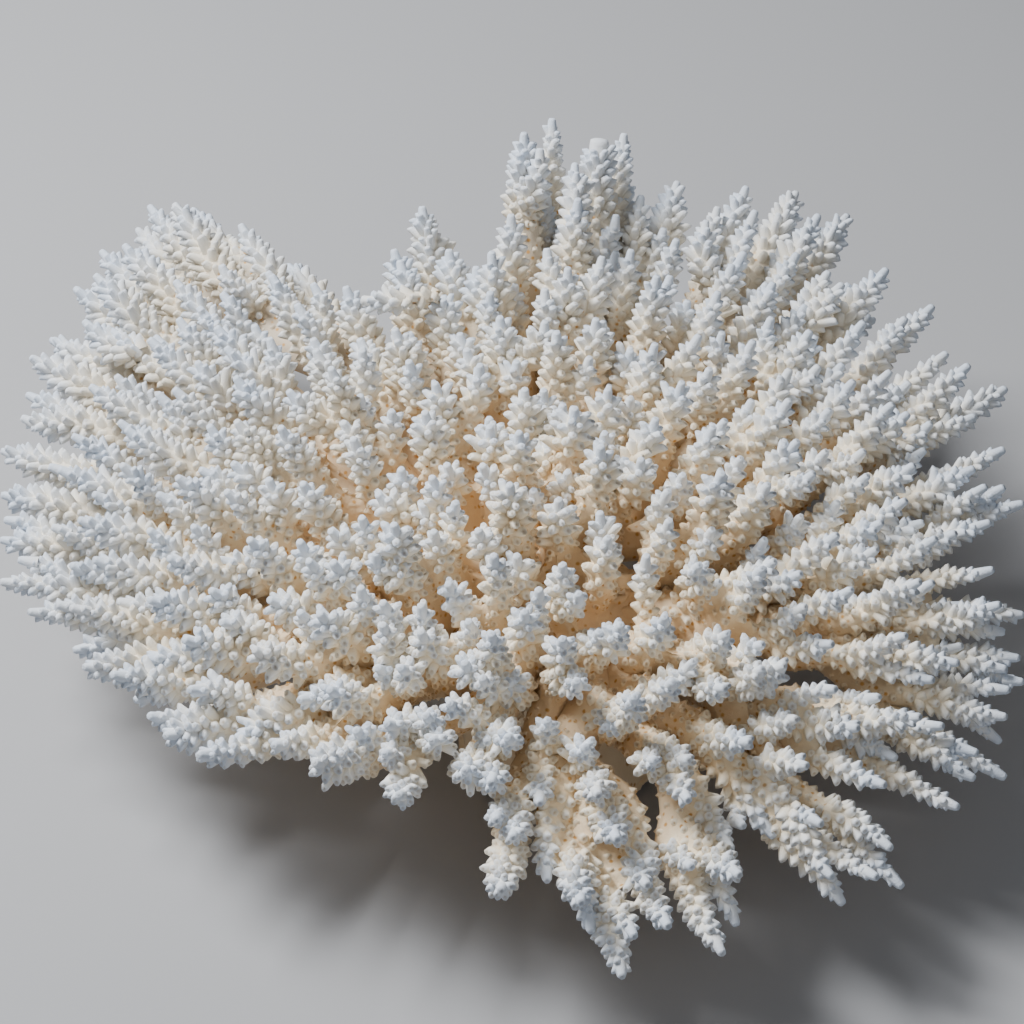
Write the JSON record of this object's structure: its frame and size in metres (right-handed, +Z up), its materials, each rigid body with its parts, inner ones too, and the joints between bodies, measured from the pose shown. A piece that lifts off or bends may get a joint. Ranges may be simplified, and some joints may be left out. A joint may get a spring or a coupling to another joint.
{
  "type": "table coral",
  "caption": "Bleached table coral skeleton: a wide fan of knobbly branchlets over a short stalk, cut flat underneath to stand on a shelf or aquarium floor.",
  "frame": {"origin": "centre of the flat cut face under the stalk", "axes": "+Z up out of the cut face, +Y towards the back of the table, +X towards its right as the picture shows it"},
  "size_m": [0.3079, 0.3111, 0.118],
  "materials": {
    "skeleton": "dry, matt, bleached coral skeleton",
    "stalk": "dry, matt, weathered coral skeleton"
  },
  "bodies": {
    "root": {"limb_back_1": "skeleton", "limb_back_2": "skeleton", "limb_back_3": "skeleton", "limb_back_4": "skeleton", "limb_back_5": "skeleton", "limb_back_left_1": "skeleton", "limb_back_left_2": "skeleton", "limb_back_left_3": "skeleton", "limb_back_left_4": "skeleton", "limb_back_left_5": "skeleton", "limb_back_left_6": "skeleton", "limb_back_right_1": "skeleton", "limb_back_right_2": "skeleton", "limb_back_right_3": "skeleton", "limb_back_right_4": "skeleton", "limb_front_1": "skeleton", "limb_front_2": "skeleton", "limb_front_3": "skeleton", "limb_front_4": "skeleton", "limb_front_5": "skeleton", "limb_front_6": "skeleton", "limb_front_left_1": "skeleton", "limb_front_left_2": "skeleton", "limb_front_left_3": "skeleton", "limb_front_left_4": "skeleton", "limb_front_right_1": "skeleton", "limb_front_right_2": "skeleton", "limb_front_right_3": "skeleton", "limb_front_right_4": "skeleton", "limb_front_right_5": "skeleton", "limb_front_right_6": "skeleton", "limb_front_right_7": "skeleton", "limb_left_1": "skeleton", "limb_left_2": "skeleton", "limb_left_3": "skeleton", "limb_left_4": "skeleton", "limb_left_5": "skeleton", "limb_middle_1": "skeleton", "limb_right_1": "skeleton", "limb_right_2": "skeleton", "limb_right_3": "skeleton", "limb_right_4": "skeleton", "limb_right_5": "skeleton", "limb_right_6": "skeleton", "stalk": "stalk"}
  },
  "joints": []
}
